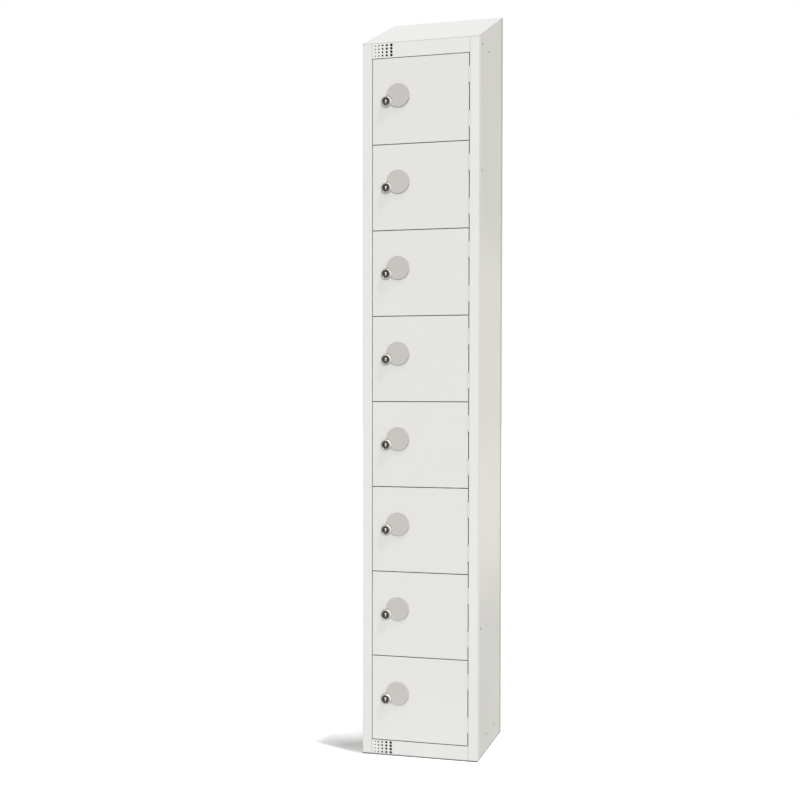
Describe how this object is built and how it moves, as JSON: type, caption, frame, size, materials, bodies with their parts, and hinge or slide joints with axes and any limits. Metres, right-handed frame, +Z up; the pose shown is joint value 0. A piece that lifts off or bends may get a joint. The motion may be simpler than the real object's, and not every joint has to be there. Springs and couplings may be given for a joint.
{
  "type": "compartment locker",
  "caption": "Tall narrow sheet-steel locker with a column of small hinged doors, keyed cam locks and a sloping top.",
  "frame": {"origin": "on the floor, under the middle of the body's footprint", "axes": "+Z up, +X to the right as one faces the doors, -Y out of the doors"},
  "size_m": [0.3018, 0.3095, 1.93],
  "materials": {
    "white_paint": "satin powder coat, near white",
    "grey_plastic": "light warm grey, satin",
    "chrome_lock": "polished plate on die-cast",
    "lock_plug": "plated, darker in the keyway",
    "zinc_steel": "zinc plated"
  },
  "bodies": {
    "cabinet": {"back_panel": "white_paint", "base_panel": "white_paint", "carcass_rivets": "white_paint", "footer_rail": "white_paint", "header_rail": "white_paint", "hinge_leaves": "white_paint", "hinge_pins": "zinc_steel", "roof_panel": "white_paint", "shelves": "white_paint", "side_panel_left": "white_paint", "side_panel_right": "white_paint", "sloping_top": "white_paint"},
    "door_1": {"door_1_pan": "white_paint", "door_1_stiffener": "white_paint", "door_1_disc": "grey_plastic", "door_1_lock_barrel": "chrome_lock"},
    "lock_1": {"door_1_lock_plug": "lock_plug", "door_1_lock_cam": "zinc_steel"},
    "door_2": {"door_2_pan": "white_paint", "door_2_stiffener": "white_paint", "door_2_disc": "grey_plastic", "door_2_lock_barrel": "chrome_lock"},
    "lock_2": {"door_2_lock_plug": "lock_plug", "door_2_lock_cam": "zinc_steel"},
    "door_3": {"door_3_pan": "white_paint", "door_3_stiffener": "white_paint", "door_3_disc": "grey_plastic", "door_3_lock_barrel": "chrome_lock"},
    "lock_3": {"door_3_lock_plug": "lock_plug", "door_3_lock_cam": "zinc_steel"},
    "door_4": {"door_4_pan": "white_paint", "door_4_stiffener": "white_paint", "door_4_disc": "grey_plastic", "door_4_lock_barrel": "chrome_lock"},
    "lock_4": {"door_4_lock_plug": "lock_plug", "door_4_lock_cam": "zinc_steel"},
    "door_5": {"door_5_pan": "white_paint", "door_5_stiffener": "white_paint", "door_5_disc": "grey_plastic", "door_5_lock_barrel": "chrome_lock"},
    "lock_5": {"door_5_lock_plug": "lock_plug", "door_5_lock_cam": "zinc_steel"},
    "door_6": {"door_6_pan": "white_paint", "door_6_stiffener": "white_paint", "door_6_disc": "grey_plastic", "door_6_lock_barrel": "chrome_lock"},
    "lock_6": {"door_6_lock_plug": "lock_plug", "door_6_lock_cam": "zinc_steel"},
    "door_7": {"door_7_pan": "white_paint", "door_7_stiffener": "white_paint", "door_7_disc": "grey_plastic", "door_7_lock_barrel": "chrome_lock"},
    "lock_7": {"door_7_lock_plug": "lock_plug", "door_7_lock_cam": "zinc_steel"},
    "door_8": {"door_8_pan": "white_paint", "door_8_stiffener": "white_paint", "door_8_disc": "grey_plastic", "door_8_lock_barrel": "chrome_lock"},
    "lock_8": {"door_8_lock_plug": "lock_plug", "door_8_lock_cam": "zinc_steel"}
  },
  "joints": [
    {"name": "door_1_hinge", "type": "hinge", "parent": "cabinet", "child": "door_1", "pos_m": [0.125, -0.15, 1.65338], "axis": [0, 0, 1], "range_deg": [0, 110]},
    {"name": "lock_1_turn", "type": "hinge", "parent": "door_1", "child": "lock_1", "pos_m": [-0.0874, -0.15, 1.65187], "axis": [0, 1, 0], "range_deg": [0, 90]},
    {"name": "door_2_hinge", "type": "hinge", "parent": "cabinet", "child": "door_2", "pos_m": [0.125, -0.15, 1.43813], "axis": [0, 0, 1], "range_deg": [0, 110]},
    {"name": "lock_2_turn", "type": "hinge", "parent": "door_2", "child": "lock_2", "pos_m": [-0.0874, -0.15, 1.43663], "axis": [0, 1, 0], "range_deg": [0, 90]},
    {"name": "door_3_hinge", "type": "hinge", "parent": "cabinet", "child": "door_3", "pos_m": [0.125, -0.15, 1.22287], "axis": [0, 0, 1], "range_deg": [0, 110]},
    {"name": "lock_3_turn", "type": "hinge", "parent": "door_3", "child": "lock_3", "pos_m": [-0.0874, -0.15, 1.22138], "axis": [0, 1, 0], "range_deg": [0, 90]},
    {"name": "door_4_hinge", "type": "hinge", "parent": "cabinet", "child": "door_4", "pos_m": [0.125, -0.15, 1.00762], "axis": [0, 0, 1], "range_deg": [0, 110]},
    {"name": "lock_4_turn", "type": "hinge", "parent": "door_4", "child": "lock_4", "pos_m": [-0.0874, -0.15, 1.00612], "axis": [0, 1, 0], "range_deg": [0, 90]},
    {"name": "door_5_hinge", "type": "hinge", "parent": "cabinet", "child": "door_5", "pos_m": [0.125, -0.15, 0.79238], "axis": [0, 0, 1], "range_deg": [0, 110]},
    {"name": "lock_5_turn", "type": "hinge", "parent": "door_5", "child": "lock_5", "pos_m": [-0.0874, -0.15, 0.79087], "axis": [0, 1, 0], "range_deg": [0, 90]},
    {"name": "door_6_hinge", "type": "hinge", "parent": "cabinet", "child": "door_6", "pos_m": [0.125, -0.15, 0.57712], "axis": [0, 0, 1], "range_deg": [0, 110]},
    {"name": "lock_6_turn", "type": "hinge", "parent": "door_6", "child": "lock_6", "pos_m": [-0.0874, -0.15, 0.57563], "axis": [0, 1, 0], "range_deg": [0, 90]},
    {"name": "door_7_hinge", "type": "hinge", "parent": "cabinet", "child": "door_7", "pos_m": [0.125, -0.15, 0.36188], "axis": [0, 0, 1], "range_deg": [0, 110]},
    {"name": "lock_7_turn", "type": "hinge", "parent": "door_7", "child": "lock_7", "pos_m": [-0.0874, -0.15, 0.36038], "axis": [0, 1, 0], "range_deg": [0, 90]},
    {"name": "door_8_hinge", "type": "hinge", "parent": "cabinet", "child": "door_8", "pos_m": [0.125, -0.15, 0.14663], "axis": [0, 0, 1], "range_deg": [0, 110]},
    {"name": "lock_8_turn", "type": "hinge", "parent": "door_8", "child": "lock_8", "pos_m": [-0.0874, -0.15, 0.14513], "axis": [0, 1, 0], "range_deg": [0, 90]}
  ]
}
